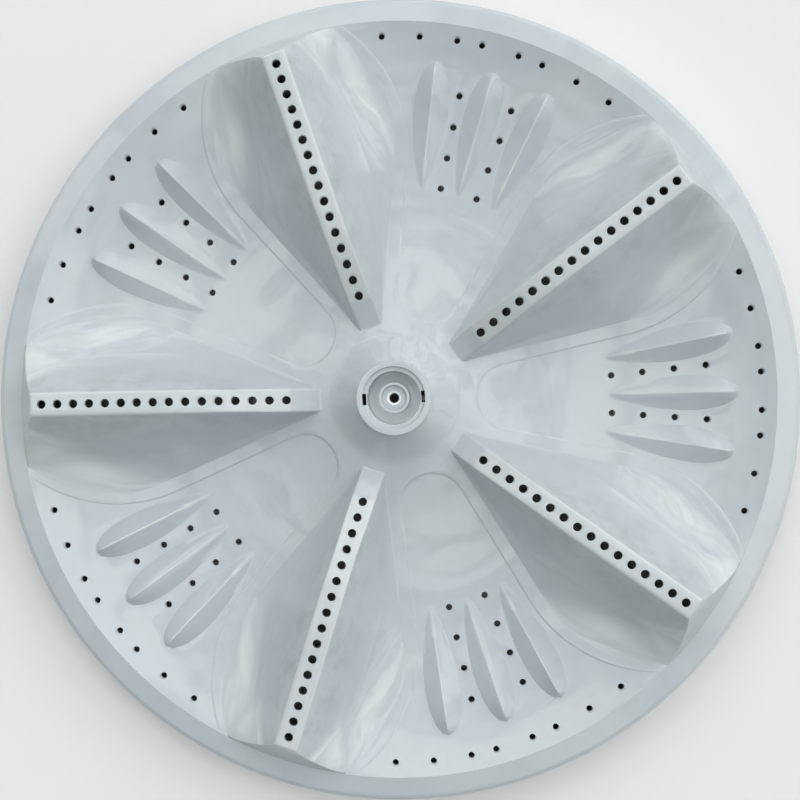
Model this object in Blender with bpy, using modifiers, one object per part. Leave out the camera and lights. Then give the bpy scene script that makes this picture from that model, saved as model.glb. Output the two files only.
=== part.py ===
# Washing machine pulsator: one injection-moulded disc with five hollow vanes.
# Metres, +Z up, origin on the axis at the level of the skirt's lower edge.

import math

import bmesh
import bpy
from mathutils import Matrix, Vector

# Driving sizes of the disc
OUTER_R = 0.171
RIM_WIDTH = 0.0103
RIM_ROUND = 0.0032
RIM_SLOPE = math.radians(11)
RIM_TOP = 0.0226
WALL = 0.0025
BOWL_LOW_R = 0.086
BOWL_LOW_Z = 0.0076
BOWL_INNER_RISE = 0.015
DOME_RISE = 0.0039
DOME_TOP_R = 0.014
DOME_FOOT_R = 0.029
DISC_SIDES = 50
DOME_STEPS = 2
BOWL_INNER_STEPS = 3
BOWL_STEPS = 4

# Driving sizes of the hub
COLLAR_R = 0.0158
COLLAR_TOP = 0.0307
COLLAR_ROUND = 0.0006
CAP_SEAT_R = 0.0131
CAP_SEAT_DEPTH = 0.0017
RECESS_R = 0.0112
RECESS_FLOOR = 0.020
RECESS_FLOOR_WALL = 0.003
SCREW_BOSS_R = 0.0066
SCREW_BOSS_TOP = 0.028
SCREW_BOSS_LIP = 0.0012
SCREW_SEAT_DEPTH = 0.0008
SCREW_HOLE_R = 0.0021
SCREW_HOLE_CHAMFER = 0.0008
SLOT_LENGTH = 0.0048
SLOT_WIDTH = 0.0016
SLOT_ANGLE = math.radians(2)
SHAFT_BOSS_R = 0.010
SHAFT_BOSS_END = 0.002
SPLINE_TEETH = 11
SPLINE_TIP_R = 0.0052
SPLINE_ROOT_R = 0.0060
SPLINE_TOP = 0.0165
SPLINE_FLANK_SHARE = 0.06
HUB_SIDES = 24

# Driving sizes of the vanes
VANES = 5
VANE_INNER_R = 0.032
VANE_INNER_HALF = 0.0052
VANE_PEAK_INSET = 0.0387
VANE_FOOT_HALF = 0.0392
VANE_FOOT_ARC = 0.046
VANE_FOOT_END_ARC = 0.058
RIDGE_WIDTH = 0.0095
RIDGE_ROUND = 0.001
RIDGE_TOP = 0.0441
VANE_END_RUN = 0.0045
RIDGE_START_Z = 0.0206
RIDGE_FLAT_INSET = 0.0547
RIDGE_CURVE = 2.2
VANE_END_LEAN = math.radians(24.5)
FLANK_ANGLE = math.radians(57.5)
SHOULDER_HALF = 0.0215
SHOULDER_FALL = 0.0095
SHOULDER_FALL_INSET = 0.0357
SHOULDER_FALL_RUN = 0.030
SHOULDER_MOST_SHARE = 0.75
FLARE_ANGLE = math.radians(41)
FLARE_FOOT_SHARE = 0.5
FLARE_WIDTH = 0.017
VANE_CLIMBS = 6
VANE_FALLS = 3
HOLLOW_CLIMBS = 4

# Driving sizes of the fins
FIN_OUTER_INSET = 0.0142
FIN_LENGTH = 0.0529
FIN_HALF = 0.0070
FIN_HEIGHT = 0.006
FIN_PEAK_SHARE = 0.86
FIN_CLIMB_CURVE = 0.8
FIN_SKEW_CURVE = 1.2
FIN_FULL_CURVE = 0.5
FIN_ROW_SHARES = (0.12, 0.45, 0.86, 0.95)
FIN_ANGLES = (-10, 0, 10)

# Driving sizes of the holes
VANE_HOLE_R = 0.00178
VANE_HOLE_FIRST_R = 0.0458
VANE_HOLE_PITCH = 0.00669
VANE_HOLE_END_GAP = 0.0140
FIN_HOLE_R = 0.00135
FIN_HOLE_PITCH = 0.01327
FIN_HOLE_COUNT = 4
FIN_HOLE_ANGLES = (-5, 5)
FIN_HOLE_SETBACK = 0.0137
RIM_HOLE_R = 0.00128
RIM_HOLE_INSET = 0.0061
RIM_HOLE_ANGLES = (-19, -13, -7, -3, 3, 7, 13, 19)
HOLE_SIDES = 6

# Driving sizes of the ribs below
RIB_THICK = 0.0022
RIB_BOTTOM = 0.004
RIB_STEPS = 7
RING_RIB_HOLE_COUNT = 3
RING_RIB_STEP = 0.0008
RING_RIB_SIDES = 25

# Depths to which raised forms reach into the plate that carries them
SINK = WALL / 2
RIB_SINK = 0.9 * SINK
FIN_SINK = SINK / 2
FIN_TIP_SINK = SINK / 8
VANE_TIP_FALL = SINK / 5
FOOT_RUN = 0.0005

# Length by which a cutter passes the surface it opens
PAST = 0.004

CREASE_R = OUTER_R - RIM_WIDTH
RIDGE_START_R = VANE_INNER_R + VANE_END_RUN
# The ring rib runs midway between two of the vanes' holes
RING_RIB_R = VANE_HOLE_FIRST_R + (RING_RIB_HOLE_COUNT - 0.5) * VANE_HOLE_PITCH
SECTOR = 2 * math.pi / VANES
FIN_OUTER_R = CREASE_R - FIN_OUTER_INSET

SHARP_ANGLE = math.radians(24)
PLASTIC_COLOUR = (0.50, 0.55, 0.60, 1.0)
PLASTIC_ROUGHNESS = 0.35


# Heights of the dish

def floor_height(r):
    """Top of the dish: two parabolas that meet at its low ring, and a dome."""
    if r >= CREASE_R:
        return RIM_TOP
    if r > BOWL_LOW_R:
        share = (r - BOWL_LOW_R) / (CREASE_R - BOWL_LOW_R)
        return BOWL_LOW_Z + (RIM_TOP - BOWL_LOW_Z) * share**2
    share = (BOWL_LOW_R - r) / (BOWL_LOW_R - COLLAR_R)
    height = BOWL_LOW_Z + BOWL_INNER_RISE * share**2
    if r < DOME_FOOT_R:
        turn = max(0.0, (r - DOME_TOP_R) / (DOME_FOOT_R - DOME_TOP_R))
        height += DOME_RISE * (1 + math.cos(math.pi * turn)) / 2
    return height


# Sections of a vane, at a distance x from the axis

def foot_half(x):
    """Half the vane's width at the floor: a line tangent to an arc, and an arc past the peak."""
    peak = CREASE_R - VANE_PEAK_INSET
    low = VANE_FOOT_HALF - VANE_FOOT_ARC
    run = peak - VANE_INNER_R
    rise = VANE_INNER_HALF - low
    reach = math.hypot(run, rise)
    lean = math.asin(VANE_FOOT_ARC / reach) - math.atan2(rise, run)
    tangent = peak - VANE_FOOT_ARC * math.sin(lean)
    if x < tangent:
        return VANE_INNER_HALF + (x - VANE_INNER_R) * math.tan(lean)
    arc = VANE_FOOT_ARC if x < peak else VANE_FOOT_END_ARC
    across = min(abs(x - peak), arc)
    return VANE_FOOT_HALF - arc + math.sqrt(arc**2 - across**2)


def ridge_height(x):
    """Top of the ridge, which climbs from the hub and then runs level."""
    level = CREASE_R - RIDGE_FLAT_INSET
    share = max(0.0, level - x) / (level - RIDGE_START_R)
    return RIDGE_TOP - (RIDGE_TOP - RIDGE_START_Z) * share**RIDGE_CURVE


def flank(x):
    """Half-section of the vane: a steep face, then a flare from its shoulder to the foot."""
    foot = foot_half(x)
    low = floor_height(math.hypot(x, foot))
    high = ridge_height(x)
    half = RIDGE_WIDTH / 2
    past = max(0.0, x - (CREASE_R - SHOULDER_FALL_INSET)) / SHOULDER_FALL_RUN
    shoulder = min(SHOULDER_HALF - SHOULDER_FALL * past**2, half + SHOULDER_MOST_SHARE * (foot - half))
    width = foot - shoulder
    turn = min(high - (shoulder - half) * math.tan(FLANK_ANGLE), low + width * math.tan(FLARE_ANGLE))
    foot_share = 1 - (1 - FLARE_FOOT_SHARE) * min(1.0, width / FLARE_WIDTH) ** 2
    middle = low + (turn - low) * (1 + foot_share) / 4
    return [(half, high), (shoulder, turn), (shoulder + width / 2, middle), (foot, low)]


def inset_chain(points, distance):
    """The chain moved sideways to its inner side, with its corners kept."""
    normals = []
    for (y0, z0), (y1, z1) in zip(points, points[1:]):
        length = math.hypot(y1 - y0, z1 - z0)
        normals.append(((z1 - z0) / length, -(y1 - y0) / length))
    moved = []
    for index, (y, z) in enumerate(points):
        before = normals[max(index - 1, 0)]
        after = normals[min(index, len(normals) - 1)]
        ny = before[0] + after[0]
        nz = before[1] + after[1]
        size = math.hypot(ny, nz)
        spread = (ny * before[0] + nz * before[1]) / size
        moved.append((y + ny / size * distance / spread, z + nz / size * distance / spread))
    return moved


# Objects and collections

def clear_scene():
    for obj in list(bpy.data.objects):
        bpy.data.objects.remove(obj, do_unlink=True)


def new_collection(name):
    collection = bpy.data.collections.new(name)
    bpy.context.scene.collection.children.link(collection)
    return collection


def new_object(name, mesh, collection):
    obj = bpy.data.objects.new(name, mesh)
    collection.objects.link(obj)
    return obj


def mesh_of(name, bm):
    mesh = bpy.data.meshes.new(name)
    bm.to_mesh(mesh)
    bm.free()
    return mesh


def hide_cutter(obj):
    obj.hide_render = True
    obj.display_type = "WIRE"
    return obj


def turned(name, profile, sides, collection):
    """A closed profile of (r, z) pairs turned round the axis."""
    bm = bmesh.new()
    points = [bm.verts.new((r, 0, z)) for r, z in profile]
    for start, end in zip(points, points[1:] + points[:1]):
        bm.edges.new((start, end))
    obj = new_object(name, mesh_of(name, bm), collection)
    screw = obj.modifiers.new("Turn", "SCREW")
    screw.axis = "Z"
    screw.steps = sides
    screw.render_steps = sides
    screw.use_merge_vertices = True
    screw.merge_threshold = 1e-5
    return obj


def loft(bm, rings, matrix):
    """Joins rings of equal length with quads and closes both ends."""
    made = [[bm.verts.new(matrix @ point) for point in ring] for ring in rings]
    count = len(made[0])
    for near, far in zip(made, made[1:]):
        for i in range(count):
            j = (i + 1) % count
            bm.faces.new((near[i], near[j], far[j], far[i]))
    bm.faces.new(made[0][::-1])
    bm.faces.new(made[-1])


def cone(bm, sides, low_r, high_r, low, high, matrix):
    """A closed cone or cylinder between two heights."""
    place = matrix @ Matrix.Translation((0, 0, (low + high) / 2))
    bmesh.ops.create_cone(
        bm, cap_ends=True, segments=sides, radius1=low_r, radius2=high_r,
        depth=high - low, matrix=place)


def turn_z(angle):
    return Matrix.Rotation(angle, 4, "Z")


def vane_angles():
    return [SECTOR * (index + 0.5) for index in range(VANES)]


def sector_angles():
    return [SECTOR * index for index in range(VANES)]


def boolean(obj, operation, other):
    modifier = obj.modifiers.new(other.name, "BOOLEAN")
    modifier.operation = operation
    modifier.solver = "EXACT"
    modifier.object = other


# The disc

def disc_profile():
    """Rim, bowl and dome above, the same moved down by the wall below."""
    inner = COLLAR_R - WALL / 2
    radii = [inner + (DOME_FOOT_R - inner) * i / DOME_STEPS for i in range(DOME_STEPS)]
    inward = (BOWL_LOW_R - DOME_FOOT_R) / BOWL_INNER_STEPS
    radii += [DOME_FOOT_R + inward * i for i in range(BOWL_INNER_STEPS)]
    radii += [BOWL_LOW_R + (CREASE_R - BOWL_LOW_R) * i / BOWL_STEPS for i in range(BOWL_STEPS)]
    top = [(r, floor_height(r)) for r in radii]
    top.append((CREASE_R, RIM_TOP))
    centre = OUTER_R - RIM_ROUND
    edge = centre + RIM_ROUND * math.sin(RIM_SLOPE)
    level = RIM_TOP - (edge - CREASE_R) * math.tan(RIM_SLOPE) - RIM_ROUND * math.cos(RIM_SLOPE)
    for step in (2, 1, 0):
        angle = (math.pi / 2 - RIM_SLOPE) * step / 2
        top.append((centre + RIM_ROUND * math.cos(angle), level + RIM_ROUND * math.sin(angle)))
    skirt = [(OUTER_R, 0.0), (OUTER_R - WALL, 0.0), (OUTER_R - WALL, level)]
    below = [(CREASE_R + WALL, RIM_TOP - WALL / math.cos(RIM_SLOPE) - WALL * math.tan(RIM_SLOPE))]
    below += [(r, floor_height(r) - WALL) for r in reversed(radii[:1] + radii[DOME_STEPS:])]
    return top + skirt + below


# The hub

def hub_profile():
    """Screw boss, cap recess and collar above, shaft boss below."""
    seat = SCREW_BOSS_TOP - SCREW_SEAT_DEPTH
    ledge = COLLAR_TOP - CAP_SEAT_DEPTH
    below = RECESS_FLOOR - RECESS_FLOOR_WALL
    chamfer_r = SCREW_HOLE_R + SCREW_HOLE_CHAMFER
    return [
        (SCREW_HOLE_R, seat - SCREW_HOLE_CHAMFER),
        (chamfer_r, seat),
        (SCREW_BOSS_R - SCREW_BOSS_LIP - SCREW_SEAT_DEPTH / 2, seat),
        (SCREW_BOSS_R - SCREW_BOSS_LIP, SCREW_BOSS_TOP),
        (SCREW_BOSS_R, SCREW_BOSS_TOP),
        (SCREW_BOSS_R, RECESS_FLOOR),
        (RECESS_R, RECESS_FLOOR),
        (RECESS_R, ledge),
        (CAP_SEAT_R, ledge),
        (CAP_SEAT_R, COLLAR_TOP),
        (COLLAR_R - COLLAR_ROUND, COLLAR_TOP),
        (COLLAR_R, COLLAR_TOP - COLLAR_ROUND),
        (COLLAR_R, below),
        (SHAFT_BOSS_R, below),
        (SHAFT_BOSS_R, SHAFT_BOSS_END),
        (SCREW_HOLE_R, SHAFT_BOSS_END),
    ]


def slot_cutter(collection):
    """Two slots for the cap's hooks, down through the ledge and the recess wall."""
    bm = bmesh.new()
    low = RECESS_FLOOR - RECESS_FLOOR_WALL - PAST
    middle = CAP_SEAT_R - SLOT_WIDTH / 2
    for side in (0, math.pi):
        size = Matrix.Diagonal((SLOT_WIDTH, SLOT_LENGTH, COLLAR_TOP - low, 1))
        place = Matrix.Translation((middle, 0, (COLLAR_TOP + low) / 2))
        bmesh.ops.create_cube(bm, size=1, matrix=turn_z(SLOT_ANGLE + side) @ place @ size)
    return hide_cutter(new_object("cap_slots", mesh_of("cap_slots", bm), collection))


def spline_cutter(collection):
    """The toothed socket that the drive shaft fits."""
    bm = bmesh.new()
    root = [(SPLINE_FLANK_SHARE, SPLINE_ROOT_R), (0.5 - SPLINE_FLANK_SHARE, SPLINE_ROOT_R)]
    tip = [(0.5 + SPLINE_FLANK_SHARE, SPLINE_TIP_R), (1 - SPLINE_FLANK_SHARE, SPLINE_TIP_R)]
    corners = []
    for tooth in range(SPLINE_TEETH):
        for share, r in root + tip:
            angle = 2 * math.pi * (tooth + share) / SPLINE_TEETH
            corners.append((r * math.cos(angle), r * math.sin(angle)))
    rings = []
    for z in (SHAFT_BOSS_END - PAST, SPLINE_TOP):
        rings.append([Vector((x, y, z)) for x, y in corners])
    loft(bm, rings, Matrix.Identity(4))
    return hide_cutter(new_object("shaft_splines", mesh_of("shaft_splines", bm), collection))


# The vanes

def vane_stations(start, climbs, falls):
    """Distances from the axis of a vane's sections."""
    peak = CREASE_R - VANE_PEAK_INSET
    climb = [start + (peak - start) * i / climbs for i in range(climbs)]
    fall = [peak + (CREASE_R - peak) * i / falls for i in range(falls)]
    return climb + fall + [CREASE_R + SINK]


def ring_of(x, half_section):
    """A closed section at x from its half, given ridge first."""
    right = [(x, y, z) for y, z in half_section]
    left = [(x, -y, z) for y, z in reversed(half_section)]
    return [Vector(point) for point in right + left]


def vane_ring(x):
    """Outer section, with the ridge's corner bevelled and the foot run into the plate."""
    (half, high), shoulder, middle, (foot, low) = flank(x)
    run = (foot - middle[0]) * FOOT_RUN / (middle[1] - low)
    fall = math.hypot(shoulder[0] - half, high - shoulder[1])
    ease_y = half + (shoulder[0] - half) * RIDGE_ROUND / fall
    ease_z = high - (high - shoulder[1]) * RIDGE_ROUND / fall
    half_section = [(half - RIDGE_ROUND, high), (ease_y, ease_z), shoulder, middle, (foot, low)]
    half_section += [(foot + run, low - FOOT_RUN), (foot, low - SINK)]
    return ring_of(x, half_section)


def vane_tip_ring():
    """The section at the hub end, where the end face meets the floor."""
    low = floor_height(VANE_INNER_R)
    count = len(vane_ring(RIDGE_START_R)) // 2
    half_section = []
    for index in range(count - 1):
        half = RIDGE_WIDTH / 2 + (VANE_INNER_HALF - RIDGE_WIDTH / 2) * index / (count - 2)
        half_section.append((half, low - VANE_TIP_FALL * index / (count - 2)))
    half_section.append((VANE_INNER_HALF, low - SINK))
    return ring_of(VANE_INNER_R, half_section)


def hollow_ring(x):
    """Inner section, a wall's thickness inside and open below the floor."""
    chain = inset_chain(flank(x), WALL)
    ceiling = ridge_height(x) - WALL
    (y0, z0), (y1, z1) = chain[0], chain[1]
    top_y = y0 + (z0 - ceiling) * (y1 - y0) / (z0 - z1)
    (ya, za), (yb, zb) = chain[-2], chain[-1]
    under = floor_height(math.hypot(x, yb)) - WALL - SINK / 2
    edge_y = yb + (zb - under) * (yb - ya) / (za - zb)
    half_section = [(top_y, ceiling), chain[1], chain[2], (edge_y, under), (edge_y, -PAST)]
    return ring_of(x, half_section)


def vane_bodies(collection):
    """All vanes, as solids that reach into the plate."""
    bm = bmesh.new()
    for angle in vane_angles():
        rings = [vane_ring(x) for x in vane_stations(RIDGE_START_R, VANE_CLIMBS, VANE_FALLS)]
        rings.insert(0, vane_tip_ring())
        loft(bm, rings, turn_z(angle))
    bmesh.ops.recalc_face_normals(bm, faces=bm.faces)
    return hide_cutter(new_object("vanes", mesh_of("vanes", bm), collection))


def vane_hollows(collection):
    """The spaces inside the vanes."""
    bm = bmesh.new()
    stations = vane_stations(RIDGE_START_R + WALL, HOLLOW_CLIMBS, VANE_FALLS)
    for angle in vane_angles():
        loft(bm, [hollow_ring(x) for x in stations], turn_z(angle))
    bmesh.ops.recalc_face_normals(bm, faces=bm.faces)
    return hide_cutter(new_object("vane_hollows", mesh_of("vane_hollows", bm), collection))


def end_cone(name, inset, collection):
    """A round plug whose leaning side is the outer end face of every vane."""
    under_hollows = -2 * PAST
    high = RIDGE_TOP + PAST
    wide = CREASE_R - inset - (under_hollows - RIM_TOP) * math.tan(VANE_END_LEAN)
    narrow = CREASE_R - inset - (high - RIM_TOP) * math.tan(VANE_END_LEAN)
    bm = bmesh.new()
    cone(bm, DISC_SIDES, wide, narrow, under_hollows, high, Matrix.Identity(4))
    return hide_cutter(new_object(name, mesh_of(name, bm), collection))


# The fins

def fin_shape(share):
    """Half-width and crest height of a fin at a share of its length."""
    skewed = share**FIN_SKEW_CURVE
    half = FIN_HALF * (4 * skewed * (1 - skewed)) ** FIN_FULL_CURVE
    if share < FIN_PEAK_SHARE:
        return half, FIN_HEIGHT * (share / FIN_PEAK_SHARE) ** FIN_CLIMB_CURVE
    past = (share - FIN_PEAK_SHARE) / (1 - FIN_PEAK_SHARE)
    return half, FIN_HEIGHT * math.sqrt(1 - past**2)


def fin_bodies(collection):
    """All fins: a sharp crest over a leaf-shaped foot."""
    bm = bmesh.new()
    inner = FIN_OUTER_R - FIN_LENGTH
    for sector in sector_angles():
        for degrees in FIN_ANGLES:
            matrix = turn_z(sector + math.radians(degrees))
            rows = []
            for share in FIN_ROW_SHARES:
                r = inner + FIN_LENGTH * share
                half, height = fin_shape(share)
                low = floor_height(r)
                spread = half * (1 + FIN_SINK / height)
                under = low - FIN_SINK
                row = ((r, -spread, under), (r, 0, low + height), (r, spread, under))
                rows.append([bm.verts.new(matrix @ Vector(point)) for point in row])
            tips = []
            for r in (inner, FIN_OUTER_R):
                tip = Vector((r, 0, floor_height(r) - FIN_TIP_SINK))
                tips.append(bm.verts.new(matrix @ tip))
            for near, far in zip(rows, rows[1:]):
                for i in range(3):
                    j = (i + 1) % 3
                    bm.faces.new((near[i], near[j], far[j], far[i]))
            for tip, row in zip(tips, (rows[0], rows[-1])):
                for i in range(3):
                    bm.faces.new((row[i], row[(i + 1) % 3], tip))
    bmesh.ops.recalc_face_normals(bm, faces=bm.faces)
    return hide_cutter(new_object("fins", mesh_of("fins", bm), collection))


# The ribs below

def radial_ribs(collection):
    """One rib below each sector, from the shaft boss to the skirt."""
    bm = bmesh.new()
    wall_r = COLLAR_R - WALL / 2
    start = SHAFT_BOSS_R - WALL / 2
    under_cup = RECESS_FLOOR - RECESS_FLOOR_WALL / 2
    outline = [(start, RIB_BOTTOM), (OUTER_R - WALL / 2, RIB_BOTTOM)]
    outline.append((OUTER_R - WALL / 2, RIM_TOP - 2 * RIM_ROUND))
    outline.append((CREASE_R, RIM_TOP - SINK))
    for step in range(1, RIB_STEPS):
        r = CREASE_R + (DOME_FOOT_R - CREASE_R) * step / RIB_STEPS
        outline.append((r, floor_height(r) - RIB_SINK))
    for share in (1.0, 0.75, 0.5, 0.25, 0.0):
        r = wall_r + (DOME_FOOT_R - wall_r) * share
        outline.append((r, floor_height(r) - RIB_SINK))
    outline += [(wall_r, under_cup), (start, under_cup)]
    for angle in sector_angles():
        rings = []
        for side in (-RIB_THICK / 2, RIB_THICK / 2):
            rings.append([Vector((r, side, z)) for r, z in outline])
        loft(bm, rings, turn_z(angle))
    bmesh.ops.recalc_face_normals(bm, faces=bm.faces)
    return hide_cutter(new_object("radial_ribs", mesh_of("radial_ribs", bm), collection))


def ring_rib(collection):
    """A ring rib that ties the radial ribs and bridges the vanes' hollows."""
    inner = RING_RIB_R - RIB_THICK / 2
    outer = RING_RIB_R + RIB_THICK / 2
    top = floor_height(RING_RIB_R) - SINK
    bottom = RIB_BOTTOM + RING_RIB_STEP
    profile = [(inner, top), (outer, top), (outer, bottom), (inner, bottom)]
    return hide_cutter(turned("ring_rib", profile, RING_RIB_SIDES, collection))


# The holes

def drill(bm, r, angle, radius, top, depth):
    """A hole down through the surface whose height at r is top."""
    place = turn_z(angle) @ Matrix.Translation((r, 0, 0)) @ turn_z(math.pi / HOLE_SIDES)
    cone(bm, HOLE_SIDES, radius, radius, top - depth, top + PAST, place)


def hole_cutter(collection):
    """Every water hole: along the ridges, between the fins and inside the rim."""
    bm = bmesh.new()
    reach = CREASE_R - VANE_HOLE_END_GAP - VANE_HOLE_FIRST_R
    for angle in vane_angles():
        for index in range(int(reach / VANE_HOLE_PITCH) + 1):
            r = VANE_HOLE_FIRST_R + VANE_HOLE_PITCH * index
            drill(bm, r, angle, VANE_HOLE_R, ridge_height(r), WALL + PAST)
    for sector in sector_angles():
        for degrees in FIN_HOLE_ANGLES:
            for index in range(FIN_HOLE_COUNT):
                r = FIN_OUTER_R - FIN_HOLE_SETBACK - FIN_HOLE_PITCH * index
                angle = sector + math.radians(degrees)
                drill(bm, r, angle, FIN_HOLE_R, floor_height(r), WALL + PAST)
        for degrees in RIM_HOLE_ANGLES:
            r = CREASE_R - RIM_HOLE_INSET
            drill(bm, r, sector + math.radians(degrees), RIM_HOLE_R, floor_height(r), WALL + PAST)
    return hide_cutter(new_object("water_holes", mesh_of("water_holes", bm), collection))


# The material

def plastic():
    material = bpy.data.materials.new("pale_plastic")
    material.use_nodes = True
    shader = material.node_tree.nodes["Principled BSDF"]
    shader.inputs["Base Color"].default_value = PLASTIC_COLOUR
    shader.inputs["Roughness"].default_value = PLASTIC_ROUGHNESS
    shader.inputs["Metallic"].default_value = 0.0
    return material


def finish(obj):
    """Turns the modifiers' result into the object's own mesh, smooth but for its edges."""
    graph = bpy.context.evaluated_depsgraph_get()
    mesh = bpy.data.meshes.new_from_object(obj.evaluated_get(graph))
    obj.modifiers.clear()
    obj.data = mesh
    mesh.name = obj.name
    mesh.shade_smooth()
    mesh.set_sharp_from_angle(angle=SHARP_ANGLE)
    mesh.materials.clear()
    mesh.materials.append(plastic())


def build():
    clear_scene()
    parts = new_collection("pulsator_parts")
    tools = new_collection("pulsator_cutters")

    vanes = vane_bodies(tools)
    boolean(vanes, "INTERSECT", end_cone("vane_end_cone", 0.0, tools))
    hollows = vane_hollows(tools)
    end_wall = WALL / math.cos(VANE_END_LEAN)
    boolean(hollows, "INTERSECT", end_cone("hollow_end_cone", end_wall, tools))
    hub = hide_cutter(turned("hub", hub_profile(), HUB_SIDES, tools))

    pulsator = turned("pulsator", disc_profile(), DISC_SIDES, parts)
    boolean(pulsator, "UNION", vanes)
    boolean(pulsator, "DIFFERENCE", hollows)
    boolean(pulsator, "UNION", fin_bodies(tools))
    boolean(pulsator, "UNION", ring_rib(tools))
    boolean(pulsator, "UNION", hub)
    boolean(pulsator, "UNION", radial_ribs(tools))
    boolean(pulsator, "DIFFERENCE", slot_cutter(tools))
    boolean(pulsator, "DIFFERENCE", spline_cutter(tools))
    boolean(pulsator, "DIFFERENCE", hole_cutter(tools))
    finish(pulsator)


build()
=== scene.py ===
import math

import bpy
import numpy as np
from mathutils import Matrix, Vector


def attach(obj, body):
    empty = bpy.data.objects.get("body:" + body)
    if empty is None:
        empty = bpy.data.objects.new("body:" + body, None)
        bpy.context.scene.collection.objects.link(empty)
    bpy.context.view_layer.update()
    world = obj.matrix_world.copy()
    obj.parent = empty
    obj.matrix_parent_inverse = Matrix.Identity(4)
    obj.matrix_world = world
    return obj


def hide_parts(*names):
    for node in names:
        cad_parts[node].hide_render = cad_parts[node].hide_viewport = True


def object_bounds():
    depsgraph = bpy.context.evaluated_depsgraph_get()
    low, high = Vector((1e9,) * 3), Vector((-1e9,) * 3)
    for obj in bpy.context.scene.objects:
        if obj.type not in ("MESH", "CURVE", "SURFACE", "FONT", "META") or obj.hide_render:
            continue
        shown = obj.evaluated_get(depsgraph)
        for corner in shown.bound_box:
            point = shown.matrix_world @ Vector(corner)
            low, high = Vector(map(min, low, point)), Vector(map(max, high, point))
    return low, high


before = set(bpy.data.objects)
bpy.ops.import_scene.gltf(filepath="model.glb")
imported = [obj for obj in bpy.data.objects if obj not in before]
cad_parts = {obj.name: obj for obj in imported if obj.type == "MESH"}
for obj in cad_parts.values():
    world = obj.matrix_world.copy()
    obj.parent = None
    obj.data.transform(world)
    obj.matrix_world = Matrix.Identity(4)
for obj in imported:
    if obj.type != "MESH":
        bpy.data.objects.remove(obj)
cadLow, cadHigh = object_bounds()
print("frame loaded, outer radius", round(cadHigh.x, 4))

mm = 0.001
turn = 2 * math.pi
sectors = 5
halfSector = math.pi / sectors
overrun = 4 * mm    # how far a cutter runs past the face that it opens


# Arrays and meshes

def smoothStep(low, high, value):
    # 0 below low, 1 above high, and 3s^2 - 2s^3 between
    share = np.clip((value - low) / (high - low), 0.0, 1.0)
    return share * share * (3 - 2 * share)


def softMin(first, second, reach):
    # the lower of two heights, with the corner eased where they are closer than reach
    share = np.clip(0.5 + 0.5 * (second - first) / reach, 0.0, 1.0)
    return second + (first - second) * share - reach * share * (1 - share)


def softMax(first, second, reach):
    # the higher of two heights, eased in the same way
    return -softMin(-first, -second, reach)


def newMesh(name, points, faces):
    # faces is an array with the same number of corners in each row
    mesh = bpy.data.meshes.new(name)
    size = faces.shape[1]
    mesh.vertices.add(len(points))
    mesh.vertices.foreach_set("co", points.astype(np.float32).ravel())
    mesh.loops.add(faces.size)
    mesh.loops.foreach_set("vertex_index", faces.astype(np.int32).ravel())
    mesh.polygons.add(len(faces))
    mesh.polygons.foreach_set("loop_start", np.arange(len(faces), dtype=np.int32) * size)
    mesh.update(calc_edges=True)
    mesh.validate()
    return mesh


def newObject(mesh):
    obj = bpy.data.objects.new(mesh.name, mesh)
    bpy.context.scene.collection.objects.link(obj)
    return obj


def volumeOf(mesh):
    # sum of the signed tetrahedra over every triangle
    mesh.calc_loop_triangles()
    corners = np.empty(len(mesh.loop_triangles) * 3, np.int32)
    mesh.loop_triangles.foreach_get("vertices", corners)
    points = np.empty(len(mesh.vertices) * 3, np.float32)
    mesh.vertices.foreach_get("co", points)
    sides = points.reshape(-1, 3)[corners.reshape(-1, 3)].astype(float)
    return np.einsum("ij,ij->i", sides[:, 0], np.cross(sides[:, 1], sides[:, 2])).sum() / 6


def solidObject(mesh):
    # an object of a closed mesh, with its faces looking outwards
    if volumeOf(mesh) < 0:
        mesh.flip_normals()
    return newObject(mesh)


def ringObject(name, points):
    # points[u, v] is closed in both directions, like the skin of a ring
    rows, columns = points.shape[:2]
    near = np.arange(rows * columns).reshape(rows, columns)
    far = np.roll(near, -1, axis=0)
    corners = [near, np.roll(near, -1, axis=1), np.roll(far, -1, axis=1), far]
    faces = np.stack(corners, axis=-1).reshape(-1, 4)
    return solidObject(newMesh(name, points.reshape(-1, 3), faces))


def stackObject(name, points):
    # many solids in one: points[solid, level, corner] are loops, joined from level to level
    # and closed with one face at each end
    near = np.arange(points[..., 0].size).reshape(points.shape[:3])
    after = np.roll(near, -1, axis=2)
    walls = np.stack([near[:, :-1], after[:, :-1], after[:, 1:], near[:, 1:]], axis=-1)
    faces = walls.reshape(-1, 4).tolist() + near[:, 0, ::-1].tolist() + near[:, -1].tolist()
    mesh = bpy.data.meshes.new(name)
    mesh.from_pydata(points.reshape(-1, 3).tolist(), [], faces)
    mesh.validate()
    return solidObject(mesh)


def combine(body, operation, tool):
    # the Manifold solver needs closed meshes, which all of these are
    modifier = body.modifiers.new(tool.name, "BOOLEAN")
    modifier.solver = "MANIFOLD"
    modifier.operation = operation
    modifier.object = tool
    graph = bpy.context.evaluated_depsgraph_get()
    mesh = bpy.data.meshes.new_from_object(body.evaluated_get(graph))
    body.modifiers.clear()
    old = body.data
    body.data = mesh
    print("  ", operation.lower(), tool.name, len(mesh.polygons), "faces")
    bpy.data.meshes.remove(old)
    bpy.data.meshes.remove(tool.data)


# Sizes of the hub and the dish

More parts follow.
